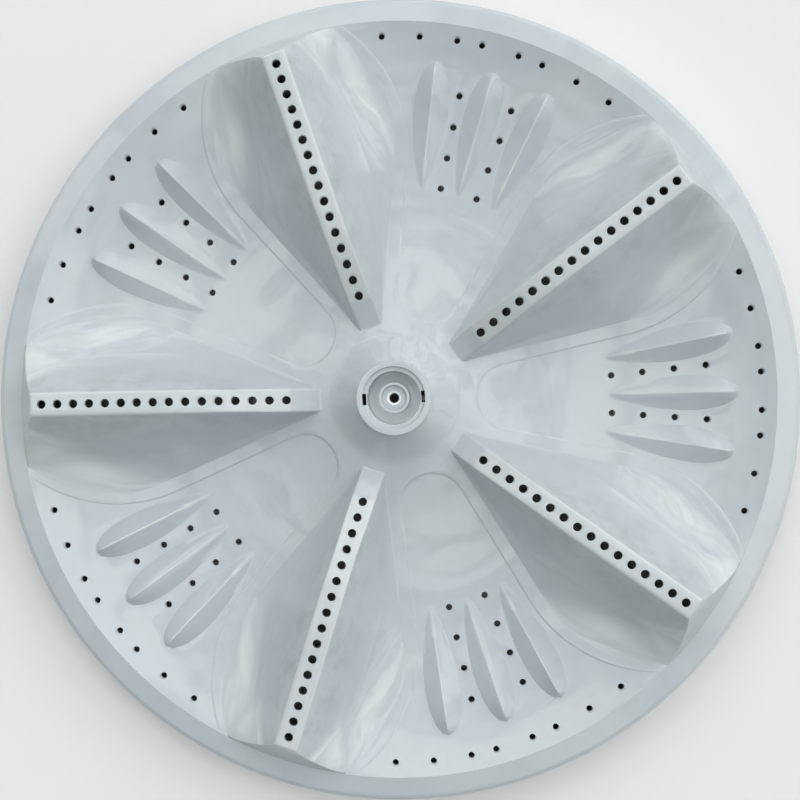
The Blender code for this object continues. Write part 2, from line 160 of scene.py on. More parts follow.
hub = {
    "collarR": 15.8 * mm,
    "collarTop": 30.7 * mm,
    "seatR": 13.1 * mm,
    "seatDepth": 1.7 * mm,
    "recessR": 11.2 * mm,
    "recessFloor": 20 * mm,
    "floorWall": 3 * mm,
    "bossR": 6.6 * mm,
    "bossTop": 28 * mm,
    "bossLip": 1.2 * mm,
    "bossDish": 1.3 * mm,
    "bossSlope": 0.4 * mm,
    "screwR": 2.1 * mm,
    "screwChamfer": 0.8 * mm,
    "slotLength": 4.8 * mm,
    "slotWidth": 1.6 * mm,
    "slotReach": 0.1 * mm,
    "slotAngle": math.radians(2),
    "shaftBossR": 10 * mm,
    "shaftBossEnd": 2 * mm,
    "splineTeeth": 11,
    "splineTipR": 5.2 * mm,
    "splineRootR": 6.0 * mm,
    "splineTop": 16.5 * mm,
    "splineShares": (0.06, 0.44, 0.56, 0.94),    # corners of one tooth, as shares of its pitch
    "corner": 0.5 * mm,
    "cornerSteps": 4,
    "sides": 96,
}

dish = {
    "outerR": cadHigh.x,
    "rimWidth": 10.3 * mm,
    "rimTop": 22.6 * mm,
    "rimSlope": math.radians(11),
    "rimRound": 3.2 * mm,
    "roundSteps": 14,
    "flatStart": 1.0 * mm,
    "flatEnd": 0.5 * mm,
    "flatSteps": 5,
    "wall": 2.5 * mm,
    "lowR": 86 * mm,
    "lowZ": 7.6 * mm,
    "innerRise": 15.0 * mm,
    "domeRise": 3.9 * mm,
    "domeTopR": 14 * mm,
    "domeFootR": 29 * mm,
    "startR": 14.5 * mm,
    "cavityStartR": 13.5 * mm,
    "skirtRound": 0.5 * mm,
    "skirtSteps": 4,
}
creaseR = dish["outerR"] - dish["rimWidth"]


def floorHeight(r):
    # parabolas on both sides of the low ring, and a cosine dome round the hub
    outward = np.clip((r - dish["lowR"]) / (creaseR - dish["lowR"]), 0, None)
    inward = np.clip((dish["lowR"] - r) / (dish["lowR"] - hub["collarR"]), 0, None)
    outer = (dish["rimTop"] - dish["lowZ"]) * outward**2
    inner = dish["innerRise"] * inward**2
    share = np.clip((r - dish["domeTopR"]) / (dish["domeFootR"] - dish["domeTopR"]), 0, 1)
    dome = dish["domeRise"] * (1 + np.cos(math.pi * share)) / 2
    return dish["lowZ"] + outer + inner + dome


# The vanes. x runs along a vane from the axis, y across it

vane = {
    "innerR": 32 * mm,
    "innerHalf": 5.2 * mm,
    "rampR": 30.6 * mm,
    "peakInset": 38.7 * mm,
    "footHalf": 39.2 * mm,
    "footArc": 46 * mm,
    "footEndArc": 58 * mm,
    "ridgeHalf": 4.75 * mm,
    "ridgeTop": cadHigh.z,
    "ridgeStartR": 36.5 * mm,
    "ridgeStartZ": 20.6 * mm,
    "ridgeFlatInset": 54.7 * mm,
    "ridgeCurve": 2.2,
    "endLean": math.radians(24.5),
    "flankAngle": math.radians(57.5),
    "flankBow": 0.26,
    "shoulderHalf": 21.5 * mm,
    "shoulderFall": 9.5 * mm,
    "shoulderFallInset": 35.7 * mm,
    "shoulderFallRun": 30 * mm,
    "shoulderMost": 0.75,
    "flareAngle": math.radians(41),
    "flareFoot": 0.5,
    "flareWidth": 17 * mm,
    "ridgeEase": 1.6 * mm,
    "endEase": 3.0 * mm,
    "shoulderEase": 4.0 * mm,
    "shoulderEaseLeast": 0.1 * mm,
    "shoulderEaseShare": 0.25,    # of the flare's width
    "footEase": 0.25 * mm,
}
vanePeak = creaseR - vane["peakInset"]


def bowedHalf(x, innerHalf, peak, peakHalf, innerArc, outerArc):
    # a line tangent to an arc that rises to its peak, and a second arc past the peak
    low = peakHalf - innerArc
    run = peak - vane["innerR"]
    rise = innerHalf - low
    lean = math.asin(innerArc / math.hypot(run, rise)) - math.atan2(rise, run)
    line = innerHalf + (x - vane["innerR"]) * math.tan(lean)
    arc = np.where(x > peak, outerArc, innerArc)
    across = np.minimum(np.abs(x - peak), arc * 0.999)    # keeps the root real past the arc
    bow = peakHalf - arc + np.sqrt(arc**2 - across**2)
    return np.where(x < peak - innerArc * math.sin(lean), line, bow)


def footHalf(x):
    # half-width of the vane's foot
    return bowedHalf(x, vane["innerHalf"], vanePeak, vane["footHalf"],
                     vane["footArc"], vane["footEndArc"])


def ridgeHeight(x):
    # the ridge falls from its level part to the hub end as a power of the distance
    level = creaseR - vane["ridgeFlatInset"]
    share = np.clip((level - x) / (level - vane["ridgeStartR"]), 0, None)
    return vane["ridgeTop"] - (vane["ridgeTop"] - vane["ridgeStartZ"]) * share ** vane["ridgeCurve"]


def shoulderHalf(x):
    # half-width at which the steep face gives way to the flare
    past = np.clip((x - creaseR + vane["shoulderFallInset"]) / vane["shoulderFallRun"], 0, None)
    most = vane["ridgeHalf"] + vane["shoulderMost"] * (footHalf(x) - vane["ridgeHalf"])
    return np.minimum(vane["shoulderHalf"] - vane["shoulderFall"] * past**2, most)


def vaneHeight(x, y, inset):
    # the lower of ridge and flank, each moved in by inset. The flank is a steep face with a
    # slight bow, eased into a flare that gets flatter towards the foot
    across = np.abs(y)
    x = np.maximum(x, vane["innerR"])
    foot = footHalf(x)
    low = floorHeight(np.hypot(x, foot))
    high = ridgeHeight(x)
    half = vane["ridgeHalf"]
    shoulder = shoulderHalf(x)
    width = foot - shoulder
    corner = np.minimum(high - (shoulder - half) * math.tan(vane["flankAngle"]),
                        low + width * math.tan(vane["flareAngle"]))
    slope = (high - corner) / (shoulder - half)
    part = np.clip((across - half) / (shoulder - half), 0, 1)
    bow = vane["flankBow"] * part * (1 - part) * (shoulder - half)
    steep = high - (across - half + bow) * slope - inset * np.hypot(1, slope)
    even = 1 - (1 - vane["flareFoot"]) * np.minimum(1, width / vane["flareWidth"]) ** 2
    share = np.clip((foot - across) / width, -2, 1)
    flare = low + (corner - low) * (even * share + (1 - even) * share * np.abs(share))
    flare = flare - inset * np.hypot(1, (corner - low) / width) - np.maximum(0, across - foot)
    ease = vane["shoulderEaseShare"] * width
    ease = np.clip(ease, vane["shoulderEaseLeast"], vane["shoulderEase"])
    return softMin(high - inset, softMax(steep, flare, ease), vane["ridgeEase"])


def hubRamp(x, inset):
    # the plane that ends the vane towards the hub
    low = floorHeight(vane["rampR"])
    rise = (vane["ridgeStartZ"] - low) / (vane["ridgeStartR"] - vane["rampR"])
    return low + (x - vane["rampR"]) * rise - inset * math.hypot(1, rise)


def endCone(r, inset):
    # the cone round the disc's axis that ends the vane at the crease
    fall = 1 / math.tan(vane["endLean"])
    return dish["rimTop"] + (creaseR - r) * fall - inset * math.hypot(1, fall)


def vaneBody(r, angle, inset):
    # the vane between its end cone and its ramp
    x = r * np.cos(angle)
    body = vaneHeight(x, r * np.sin(angle), inset)
    body = softMin(body, endCone(r, inset), vane["ridgeEase"])
    return softMin(body, hubRamp(x, inset), vane["endEase"])


# The pads between the vanes, sunk a little below the strip along the vanes and round the hub

pad = {
    "innerHalf": 9.65 * mm,
    "peakInset": 40.2 * mm,
    "peakHalf": 43.0 * mm,
    "arc": 58.8 * mm,
    "step": 0.4 * mm,
    "edge": 0.8 * mm,
    "tipR": 14.4 * mm,
    "tipCentre": 48.7 * mm,
    "tipOverlap": 1.0 * mm,
    "rimFade": 2.0 * mm,
}
padTipR = pad["tipCentre"] - pad["tipR"]


def padHalf(x):
    # half-width, from the vane's middle, at which the pad starts
    return bowedHalf(x, pad["innerHalf"], creaseR - pad["peakInset"], pad["peakHalf"],
                     pad["arc"], pad["arc"])


def padInside(r, angle):
    # distance into the pad: from the line along the vane or from the round tip
    x = r * np.cos(angle)
    y = r * np.sin(angle)
    probe = 1e-4
    lean = (padHalf(x + probe) - padHalf(x - probe)) / (2 * probe)
    side = (y - padHalf(x)) / np.hypot(1, lean)
    along = r * np.cos(halfSector - angle)
    across = r * np.sin(halfSector - angle)
    tip = pad["tipR"] - np.hypot(along - pad["tipCentre"], across)
    return np.where(along < pad["tipCentre"], np.minimum(side + pad["tipOverlap"], tip), side)


# The fins

fin = {
    "outerInset": 16.0 * mm,
    "length": 53.1 * mm,
    "half": 7.0 * mm,
    "halfLeast": 0.05 * mm,
    "height": 5.6 * mm,
    "peak": 0.76,
    "climb": 0.7,
    "skew": 1.6,
    "fullness": 0.5,
    "spread": math.radians(10),
    "crestEase": 0.5 * mm,
    "footEase": 0.15 * mm,
}
finOuterR = creaseR - fin["outerInset"]
finInnerR = finOuterR - fin["length"]


def finShape(along):
    # half-width and crest height at a distance along the fin: a skewed leaf, and a crest that
    # climbs as a power to its peak and ends in a quarter ellipse
    share = np.clip((along - finInnerR) / fin["length"], 0, 1)
    skewed = share ** fin["skew"]
    half = fin["half"] * (4 * skewed * (1 - skewed)) ** fin["fullness"]
    climb = fin["height"] * (share / fin["peak"]) ** fin["climb"]
    past = np.clip((share - fin["peak"]) / (1 - fin["peak"]), 0, 1)
    return half, np.where(share < fin["peak"], climb, fin["height"] * np.sqrt(1 - past**2))


def finHeight(r, angle, centre):
    # an eased crest over a leaf: the height falls evenly from the crest to the leaf's edge
    along = r * np.cos(angle - centre)
    across = np.abs(r * np.sin(angle - centre))
    half, crest = finShape(along)
    across = np.sqrt(across**2 + fin["crestEase"] ** 2) - fin["crestEase"]
    height = crest * (1 - across / np.maximum(half, fin["halfLeast"]))
    return np.where((along > finInnerR) & (along < finOuterR), height, -1 * mm)


# The whole top, and the hollow below it

def topHeight(r, angle):
    # the floor, raised on the strip beside the pad, then the fins, then the vane.
    # angle runs from a vane's middle to the middle of the sector beside it
    floor = floorHeight(r)
    strip = 1 - smoothStep(0, pad["edge"], padInside(r, angle))
    height = floor + pad["step"] * strip * smoothStep(0, pad["rimFade"], creaseR - r)
    for centre in (halfSector, halfSector - fin["spread"]):
        height = softMax(height, floor + finHeight(r, angle, centre), fin["footEase"])
    body = np.where(r < creaseR, vaneBody(r, angle, 0), -1)
    return softMax(height, body, vane["footEase"])


def cavityHeight(r, angle):
    # floor and vane moved in by the wall
    wall = dish["wall"]
    return softMax(floorHeight(r) - wall, vaneBody(r, angle, wall), 2 * vane["footEase"])


# Grid lines that follow the forms, from a vane's middle to the middle of the sector

grid = {
    "tableRows": 900,
    "angleRows": 1201,
    "passes": 12,
    "fade": 6 * mm,    # half the stretch in which the lines leave their even places
    "ridgeIn": 0.7 * mm,
    "ridgeOut": 0.5 * mm,
    "shoulderIn": 0.5 * mm,
    "shoulderOut": 0.8 * mm,
    "footSide": 0.25 * mm,
    "padFromFoot": 1.2 * mm,
    "padFromMiddle": 0.02,
    "padFadeRun": 12 * mm,
    "leafLeast": 2.4 * mm,
    "leafEase": 2 * mm,
    "leafGuard": 0.4 * mm,
    "crestSide": 0.3 * mm,
    "topGap": 0.12 * mm,
    "topCounts": (2, 3, 4, 3, 5, 2, 3, 2, 4, 1, 3, 1, 3, 1, 2, 1, 3, 1),    # columns between lines
    "topBand": 0.6 * mm,
    "wallShare": 0.6,
    "cavityRidge": 0.3 * mm,
    "cavityFoot": 3 * mm,
    "cavityGap": 0.2 * mm,
    "cavityCounts": (1, 1, 3, 4, 2, 5),
    "cavityBand": 1.5 * mm,
    "endSteps": 6,
    "endCurve": 1.2,
}


def crossing(angles, values):
    # per row, the first angle at which the values turn positive, or the last angle
    above = values > 0
    place = np.argmax(above, axis=1)
    found = above.any(axis=1)
    after = np.clip(place, 1, None)
    rows = np.arange(len(values))
    before = values[rows, after - 1]
    share = np.clip(-before / (values[rows, after] - before + 1e-12), 0, 1)
    angle = angles[after - 1] + (angles[after] - angles[after - 1]) * share
    return np.where(found & (place > 0), angle, np.where(found, angles[0], angles[-1]))


def widthLine(r, half):
    # the angle at which a line of half-width half(x) crosses each radius, by repeated steps
    angle = np.zeros_like(r)
    for _ in range(grid["passes"]):
        angle = np.arcsin(np.clip(half(r * np.cos(angle)) / r, 0, 0.95))
    return angle


def fadedLines(lines, past):
    # evenly spread lines short of the vane's hub end, and the given ones past it
    mask = smoothStep(-grid["fade"], grid["fade"], past)
    spread = np.linspace(0, halfSector, len(lines) + 2)[1:-1]
    return [share + (line - share) * mask for line, share in zip(lines, spread)]


def spacedLines(lines, r, gap):
    # the lines in order, each at least gap after the last, and all within the half sector
    ordered = [np.zeros_like(r)]
    for line in lines:
        ordered.append(np.maximum(line, ordered[-1] + gap / r))
    ordered.append(np.full_like(r, halfSector))
    for index in range(len(ordered) - 2, 0, -1):
        ordered[index] = np.minimum(ordered[index], ordered[index + 1] - gap / r)
    return np.array(ordered)


def topLines(r):
    # both sides of the ridge's edge, the shoulder, the foot, the pad's edge and each fin
    angles = np.linspace(0, halfSector, grid["angleRows"])
    ridge = widthLine(r, lambda x: vane["ridgeHalf"])
    shoulder = widthLine(r, shoulderHalf)
    foot = widthLine(r, footHalf)
    padEdge = crossing(angles, padInside(r[:, None], angles[None, :]))
    before = np.clip(padTipR - r, 0, None)
    padEdge = np.minimum(padEdge, halfSector - grid["padFromMiddle"] - before / grid["padFadeRun"])
    padEdge = np.maximum(padEdge, foot + grid["padFromFoot"] / r)
    finHalf, _ = finShape(r)
    leaf = softMax(finHalf + fin["crestEase"], grid["leafLeast"], grid["leafEase"]) / r
    beside = leaf + grid["leafGuard"] / r
    crest = grid["crestSide"] / r
    side = halfSector - fin["spread"]
    lines = [ridge - grid["ridgeIn"] / r, ridge + grid["ridgeOut"] / r,
             shoulder - grid["shoulderIn"] / r, shoulder + grid["shoulderOut"] / r,
             foot - grid["footSide"] / r, foot + grid["footSide"] / r,
             padEdge, padEdge + pad["edge"] / r,
             side - beside, side - leaf, side - crest, side + crest, side + leaf, side + beside,
             halfSector - beside, halfSector - leaf, halfSector - crest]
    return spacedLines(fadedLines(lines, r - vane["innerR"]), r, grid["topGap"])


def cavityLines(r):
    # the same lines of the vane, moved in by the wall
    wall = dish["wall"]
    slope = math.tan(vane["flankAngle"])
    narrow = wall * (math.hypot(1, slope) - 1) / slope
    sideways = wall * grid["wallShare"]
    ridge = widthLine(r, lambda x: vane["ridgeHalf"] - narrow)
    shoulder = widthLine(r, lambda x: shoulderHalf(x) - sideways)
    foot = widthLine(r, lambda x: footHalf(x) - sideways)
    lines = [ridge - grid["cavityRidge"] / r, ridge + grid["cavityRidge"] / r,
             shoulder, foot, foot + grid["cavityFoot"] / r]
    return spacedLines(fadedLines(lines, r - vane["innerR"] - wall), r, grid["cavityGap"])


def columnAngles(lines, tableR, counts, r):
    # the angle of each column at each radius: straight steps between neighbouring lines
    line = np.repeat(np.arange(len(counts)), counts)
    share = np.concatenate([np.arange(count) / count for count in counts])
    line = np.append(line, len(counts) - 1)
    share = np.append(share, 1.0)
    at = np.stack([np.interp(r, tableR, row) for row in lines])
    column = np.arange(r.shape[1])[None, :]
    row = np.arange(r.shape[0])[:, None]
    near = at[line[column], row, column]
    far = at[line[column] + 1, row, column]
    return near + (far - near) * share[None, :]


def ringRadii(stretches):
    # (radius, count) pairs: count even steps from that radius to the next pair's
    pairs = zip(stretches[:-1], stretches[1:])
    runs = [np.linspace(start, end, count, endpoint=False) for (start, count), (end, _) in pairs]
    return np.concatenate(runs + [[stretches[-1][0]]])


def formSheet(height, lineMaker, counts, rings, band, wall):
    # half a sector of rings: plain ones, then some bent step by step to the edge of the vane's
    # end, then some down that end to the crease
    tableR = np.linspace(rings[0], creaseR, grid["tableRows"])
    lines = lineMaker(tableR)
    columns = sum(counts) + 1
    table = np.repeat(tableR[:, None], columns, axis=1)
    angle = columnAngles(lines, tableR, counts, table)
    above = vaneHeight(table * np.cos(angle), table * np.sin(angle), wall) - endCone(table, wall)
    outside = tableR > rings[-1]
    edge = crossing(tableR[outside], above[outside].T)
    edge = np.minimum(edge, creaseR - wall - band)[None, :]
    steps = np.linspace(0, 1, grid["endSteps"] + 1)[1:, None]
    radius = np.concatenate([
        np.repeat(rings[:, None], columns, axis=1),
        rings[-1] + (edge - rings[-1]) * steps,
        edge + (creaseR - wall - edge) * steps ** grid["endCurve"]])
    angle = columnAngles(lines, tableR, counts, radius)
    return radius, angle, height(radius, angle)


def fullCircle(radius, angle, height):
    # one half sector, mirrored and turned into the whole ring of columns
    last = radius.shape[1] - 1
    fold = np.concatenate([np.arange(0, last + 1), np.arange(last - 1, 0, -1)])
    side = np.concatenate([np.ones(last + 1), -np.ones(last - 1)])
    ahead = (1 - side) / 2
    fold = np.tile(fold, sectors)
    side = np.tile(side, sectors)
    index = np.repeat(np.arange(sectors), 2 * last)
    base = halfSector + 2 * halfSector * (index + np.tile(ahead, sectors))
    theta = base[None, :] + side[None, :] * angle[:, fold]
    r = radius[:, fold]
    y = np.clip(r * np.sin(theta), cadLow.y, cadHigh.y)    # the solids are a hair narrower in y
    return np.stack([r * np.cos(theta), y, height[:, fold]], axis=-1)


def closedRing(name, sheet, profile):
    # the sheet, and then round the outside by the profile's (r, z) points back to its start
    radius, angle, high = sheet
    r, z = np.array(profile).T
    columns = radius.shape[1]
    radius = np.concatenate([radius, np.repeat(r[:, None], columns, axis=1)])
    angle = np.concatenate([angle, np.repeat(angle[-1:], len(r), axis=0)])
    high = np.concatenate([high, np.repeat(z[:, None], columns, axis=1)])
    return ringObject(name, fullCircle(radius, angle, high))


def arcPoints(centre, radius, start, end, count):
    # points of a circle between two angles in degrees
    angles = np.radians(np.linspace(start, end, count))
    return [(centre[0] + radius * math.cos(a), centre[1] + radius * math.sin(a)) for a in angles]


def rimPoints(inset, count):
    # the rim's slope out from the crease, then a round down to the skirt
    lean = dish["rimSlope"]
    slope = math.tan(lean)
    size = dish["rimRound"]
    centreR = dish["outerR"] - size
    turnR = centreR + size * math.sin(lean)
    centreZ = dish["rimTop"] - (turnR - creaseR) * slope - size * math.cos(lean)
    top = dish["rimTop"] - inset / math.cos(lean)
    flatR = np.linspace(creaseR + dish["flatStart"], turnR - dish["flatEnd"], dish["flatSteps"])
    flat = [(r, top - (r - creaseR) * slope) for r in flatR]
    start = 90 - math.degrees(lean)
    return flat + arcPoints((centreR, centreZ), size - inset, start, 0, count)


def makeDish():
    # the top, then the rim, the skirt and a level underside that the cavity opens later
    rings = ringRadii([
        (dish["startR"], 18), (30 * mm, 6), (padTipR - 0.4 * mm, 5), (padTipR + 0.6 * mm, 6),
        (39 * mm, 24), (finInnerR - 2 * mm, 6), (finInnerR + 4 * mm, 26),
        (finOuterR - 8 * mm, 12), (finOuterR + 0.6 * mm, 2), (finOuterR + 3 * mm, 0)])
    sheet = formSheet(topHeight, topLines, grid["topCounts"], rings, grid["topBand"], 0.0)
    small = dish["skirtRound"]
    outline = rimPoints(0.0, dish["roundSteps"])
    outline += [(dish["outerR"], dish["rimTop"] / 3)]    # one row part way up the skirt
    outline += arcPoints((dish["outerR"] - small, small), small, 0, -90, dish["skirtSteps"])
    outline += [(dish["startR"], 0.0)]
    return closedRing("pulsator_moulding", sheet, outline)


def makeCavity():
    # the hollow below the wall, open downwards
    wall = dish["wall"]
    inner = dish["cavityStartR"]
    rings = ringRadii([(inner, 9), (30 * mm, 8), (42 * mm, 28), (146 * mm, 0)])
    sheet = formSheet(cavityHeight, cavityLines, grid["cavityCounts"], rings,
                      grid["cavityBand"], wall)
    outline = rimPoints(wall, dish["roundSteps"] // 2)
    outline += [(dish["outerR"] - wall, -overrun), (inner, -overrun)]
    return closedRing("under_cavity", sheet, outline)


# The turned hub, its slots and its splines

def roundedCorners(points, radius, count):
    # each corner of a closed (r, z) outline becomes an arc drawn as a quadratic curve, which
    # takes at most 0.35 of the shorter side at the corner
    points = np.array(points)
    before = np.roll(points, 1, axis=0) - points
    after = np.roll(points, -1, axis=0) - points
    sizeBefore = np.hypot(before[:, 0], before[:, 1])
    sizeAfter = np.hypot(after[:, 0], after[:, 1])
    cut = np.minimum(radius, 0.35 * np.minimum(sizeBefore, sizeAfter))
    first = (points + before / sizeBefore[:, None] * cut[:, None])[:, None]
    last = (points + after / sizeAfter[:, None] * cut[:, None])[:, None]
    share = np.linspace(0, 1, count)[None, :, None]
    middle = 2 * share * (1 - share) * points[:, None]
    return ((1 - share) ** 2 * first + middle + share**2 * last).reshape(-1, 2)


def turnedObject(name, outline, sides):
    # a closed (r, z) outline turned round the axis
    theta = turn * np.arange(sides) / sides
    r = outline[:, 0][:, None]
    z = np.repeat(outline[:, 1][:, None], sides, axis=1)
    return ringObject(name, np.stack([r * np.cos(theta), r * np.sin(theta), z], axis=-1))


def makeHub():
    # collar, cap seat, recess, screw boss and the shaft boss below, as one outline
    seat = hub["bossTop"] - hub["bossDish"]
    ledge = hub["collarTop"] - hub["seatDepth"]
    below = hub["recessFloor"] - hub["floorWall"]
    lip = hub["bossR"] - hub["bossLip"]
    outline = [
        (hub["screwR"], seat - hub["screwChamfer"] / 2),
        (hub["screwR"] + hub["screwChamfer"], seat),
        (lip - hub["bossSlope"], seat), (lip, hub["bossTop"]),
        (hub["bossR"], hub["bossTop"]), (hub["bossR"], hub["recessFloor"]),
        (hub["recessR"], hub["recessFloor"]), (hub["recessR"], ledge),
        (hub["seatR"], ledge), (hub["seatR"], hub["collarTop"]),
        (hub["collarR"], hub["collarTop"]), (hub["collarR"], below),
        (hub["shaftBossR"], below), (hub["shaftBossR"], hub["shaftBossEnd"]),
        (hub["screwR"], hub["shaftBossEnd"]),
    ]
    outline = roundedCorners(outline, hub["corner"], hub["cornerSteps"])
    return turnedObject("hub_form", outline, hub["sides"])


def prismObject(name, x, y, low, high):
    # upright prisms: x[prism, corner] and y are their outlines, low and high their ends
    z = np.array([low, high])[None, :, None]
    return stackObject(name, np.stack(np.broadcast_arrays(x[:, None], y[:, None], z), axis=-1))


def makeSlots():
    # two slots for the cap's hooks, across the cap seat on opposite sides
    reach = hub["seatR"] + hub["slotReach"]
    near = reach - hub["slotWidth"]
    along = np.array([near, reach, reach, near])
    across = np.array([-1, -1, 1, 1]) * hub["slotLength"] / 2
    angles = (hub["slotAngle"] + np.array([0, math.pi]))[:, None]
    x = along * np.cos(angles) - across * np.sin(angles)
    y = along * np.sin(angles) + across * np.cos(angles)
    low = hub["recessFloor"] - hub["floorWall"] - overrun
    return prismObject("cap_slots", x, y, low, hub["collarTop"])


def makeSplines():
    # the toothed socket of the drive shaft: two corners at the root and two at the tip a tooth
    teeth = hub["splineTeeth"]
    tooth = np.repeat(np.arange(teeth), 4)
    share = np.tile(hub["splineShares"], teeth)
    radius = np.tile([hub["splineRootR"]] * 2 + [hub["splineTipR"]] * 2, teeth)
    theta = turn * (tooth + share) / teeth
    x, y = (radius * np.cos(theta))[None], (radius * np.sin(theta))[None]
    return prismObject("shaft_splines", x, y, hub["shaftBossEnd"] - overrun, hub["splineTop"])


# The ribs below

rib = {
    "thick": 2.2 * mm,
    "bottom": 4.0 * mm,
    "sink": 1.1 * mm,
    "steps": 60,
    "ringR": 62.525 * mm,
    "ringStep": 0.8 * mm,
    "corner": 0.3 * mm,
    "cornerSteps": 3,
    "ringSides": 160,
}


def makeRadialRibs():
    # five upright plates whose top edge runs inside the dish's wall
    wall = dish["wall"]
    collar = hub["collarR"] - wall / 2
    start = hub["shaftBossR"] - wall / 2
    end = dish["outerR"] - wall / 2
    underCup = hub["recessFloor"] - hub["floorWall"] / 2
    underRim = dish["rimTop"] - 2 * dish["rimRound"]
    alongTop = np.linspace(creaseR, collar, rib["steps"])
    edge = [(start, rib["bottom"]), (end, rib["bottom"]), (end, underRim)]
    edge += list(zip(alongTop, floorHeight(alongTop) - rib["sink"]))
    edge += [(collar, underCup), (start, underCup)]
    along, high = np.array(edge).T
    angle = (turn * np.arange(sectors) / sectors)[:, None, None]
    side = np.array([-1, 1])[None, :, None] * rib["thick"] / 2
    x = along * np.cos(angle) - side * np.sin(angle)
    y = along * np.sin(angle) + side * np.cos(angle)
    return stackObject("radial_ribs", np.stack(np.broadcast_arrays(x, y, high), axis=-1))


def makeRingRib():
    # one turned ring between the hub and the skirt, with its top inside the dish's wall
    inner = rib["ringR"] - rib["thick"] / 2
    outer = rib["ringR"] + rib["thick"] / 2
    top = float(floorHeight(np.array(rib["ringR"]))) - dish["wall"] / 2
    bottom = rib["bottom"] + rib["ringStep"]
    outline = [(inner, top), (outer, top), (outer, bottom), (inner, bottom)]
    outline = roundedCorners(outline, rib["corner"], rib["cornerSteps"])
    return turnedObject("ring_rib", outline, rib["ringSides"])


# The water holes

holes = {
    "vaneR": 1.78 * mm,
    "vaneFirst": 45.8 * mm,
    "vanePitch": 6.69 * mm,
    "vaneCount": 16,
    "finR": 1.35 * mm,
    "finPitch": 13.27 * mm,
    "finCount": 4,
    "finAngles": np.radians([-5, 5]),
    "finSetback": 11.9 * mm,
    "rimR": 1.28 * mm,
    "rimInset": 6.1 * mm,
    "rimAngles": np.radians([-19, -13, -7, -3, 3, 7, 13, 19]),
    "edge": 0.22 * mm,
    "depth": 8 * mm,
    "sides": 24,
}


def holePlaces():
    # x, y, height of the surface and radius of each hole: a row on every vane's ridge, two
    # rows between the fins of every group, and a row inside the rim
    sector = turn * np.arange(sectors) / sectors
    vaneAt = holes["vaneFirst"] + holes["vanePitch"] * np.arange(holes["vaneCount"])
    finAt = finOuterR - holes["finSetback"] - holes["finPitch"] * np.arange(holes["finCount"])
    rimAt = np.array([creaseR - holes["rimInset"]])
    rows = [(vaneAt, np.array([halfSector]), holes["vaneR"], ridgeHeight(vaneAt)),
            (finAt, holes["finAngles"], holes["finR"], floorHeight(finAt)),
            (rimAt, holes["rimAngles"], holes["rimR"], floorHeight(rimAt))]
    places = []
    for at, offsets, size, level in rows:
        r, offset, base = np.meshgrid(at, offsets, sector, indexing="ij")
        theta = offset + base
        z = np.broadcast_to(level[:, None, None], r.shape)
        place = np.stack([r * np.cos(theta), r * np.sin(theta), z, np.full_like(r, size)], axis=-1)
        places.append(place.reshape(-1, 4))
    return np.concatenate(places)


def makeHoles():
    # every hole is a round rod through the wall, flared at the top for the eased edge
    edge = holes["edge"]
    rod = [(-holes["depth"], 0.0), (-edge, 0.0), (0.0, edge), (edge, 2 * edge), (overrun, 2 * edge)]
    drop, flare = np.array(rod).T[:, None, :, None]
    middleX, middleY, middleZ, radius = holePlaces().T[:, :, None, None]
    theta = turn * np.arange(holes["sides"]) / holes["sides"]
    x = middleX + (radius + flare) * np.cos(theta)
    y = middleY + (radius + flare) * np.sin(theta)
    return stackObject("water_holes", np.stack(np.broadcast_arrays(x, y, middleZ + drop), axis=-1))


# Shader maths

class Signal:
    # a shader value whose arithmetic adds Math nodes
    def __init__(self, board, socket):
        self.board = board
        self.socket = socket

    def math(self, operation, first, second):
        return self.board.add("ShaderNodeMath", {"operation": operation}, {0: first, 1: second})

    def __add__(self, other):
        return self.math("ADD", self, other)

    __radd__ = __add__

    def __sub__(self, other):
        return self.math("SUBTRACT", self, other)

    def __rsub__(self, other):
        return self.math("SUBTRACT", other, self)

    def __mul__(self, other):
        return self.math("MULTIPLY", self, other)

    __rmul__ = __mul__


class Board:
    # the node tree of one material or world
    def __init__(self, owner):
        self.owner = owner
        owner.use_nodes = True
        self.tree = owner.node_tree
        self.tree.nodes.clear()

    def add(self, kind, settings=None, inputs=None, output=0):
        # inputs are numbers, colours or the Signals that are linked in
        node = self.tree.nodes.new(kind)
        for name, value in (settings or {}).items():
            setattr(node, name, value)
        for name, value in (inputs or {}).items():
            if isinstance(value, Signal):
                self.tree.links.new(value.socket, node.inputs[name])
            else:
                node.inputs[name].default_value = value
        return Signal(self, node.outputs[output]) if node.outputs else None

    def vector(self, operation, inputs, output=0):
        return self.add("ShaderNodeVectorMath", {"operation": operation}, inputs, output)

    def part(self, vector, axis):
        # x, y or z of a vector, by the axis numbers 0, 1 and 2
        return self.add("ShaderNodeSeparateXYZ", {}, {0: vector}, axis)

    def noise(self, place, pattern):
        # pattern is scale, detail, roughness and distortion
        names = ("Scale", "Detail", "Roughness", "Distortion")
        return self.add("ShaderNodeTexNoise", {}, {"Vector": place, **dict(zip(names, pattern))})

    def limit(self, value, levels):
        # 0 at the first level, 1 at the second, straight between and held outside
        return self.add("ShaderNodeMapRange", {}, {0: value, 1: levels[0], 2: levels[1]})

    def mark(self, place, name):
        # a noise cut to a mask between its two levels
        return self.limit(self.noise(place, marks[name]["noise"]), marks[name]["levels"])

    def blend(self, mask, first, second):
        # first where the mask is 0 and second where it is 1
        return self.add("ShaderNodeMix", {"data_type": "RGBA"}, {0: mask, 6: first, 7: second}, 2)

    def finish(self, kind, shader):
        self.add(kind, {}, {0: shader})
        return self.owner


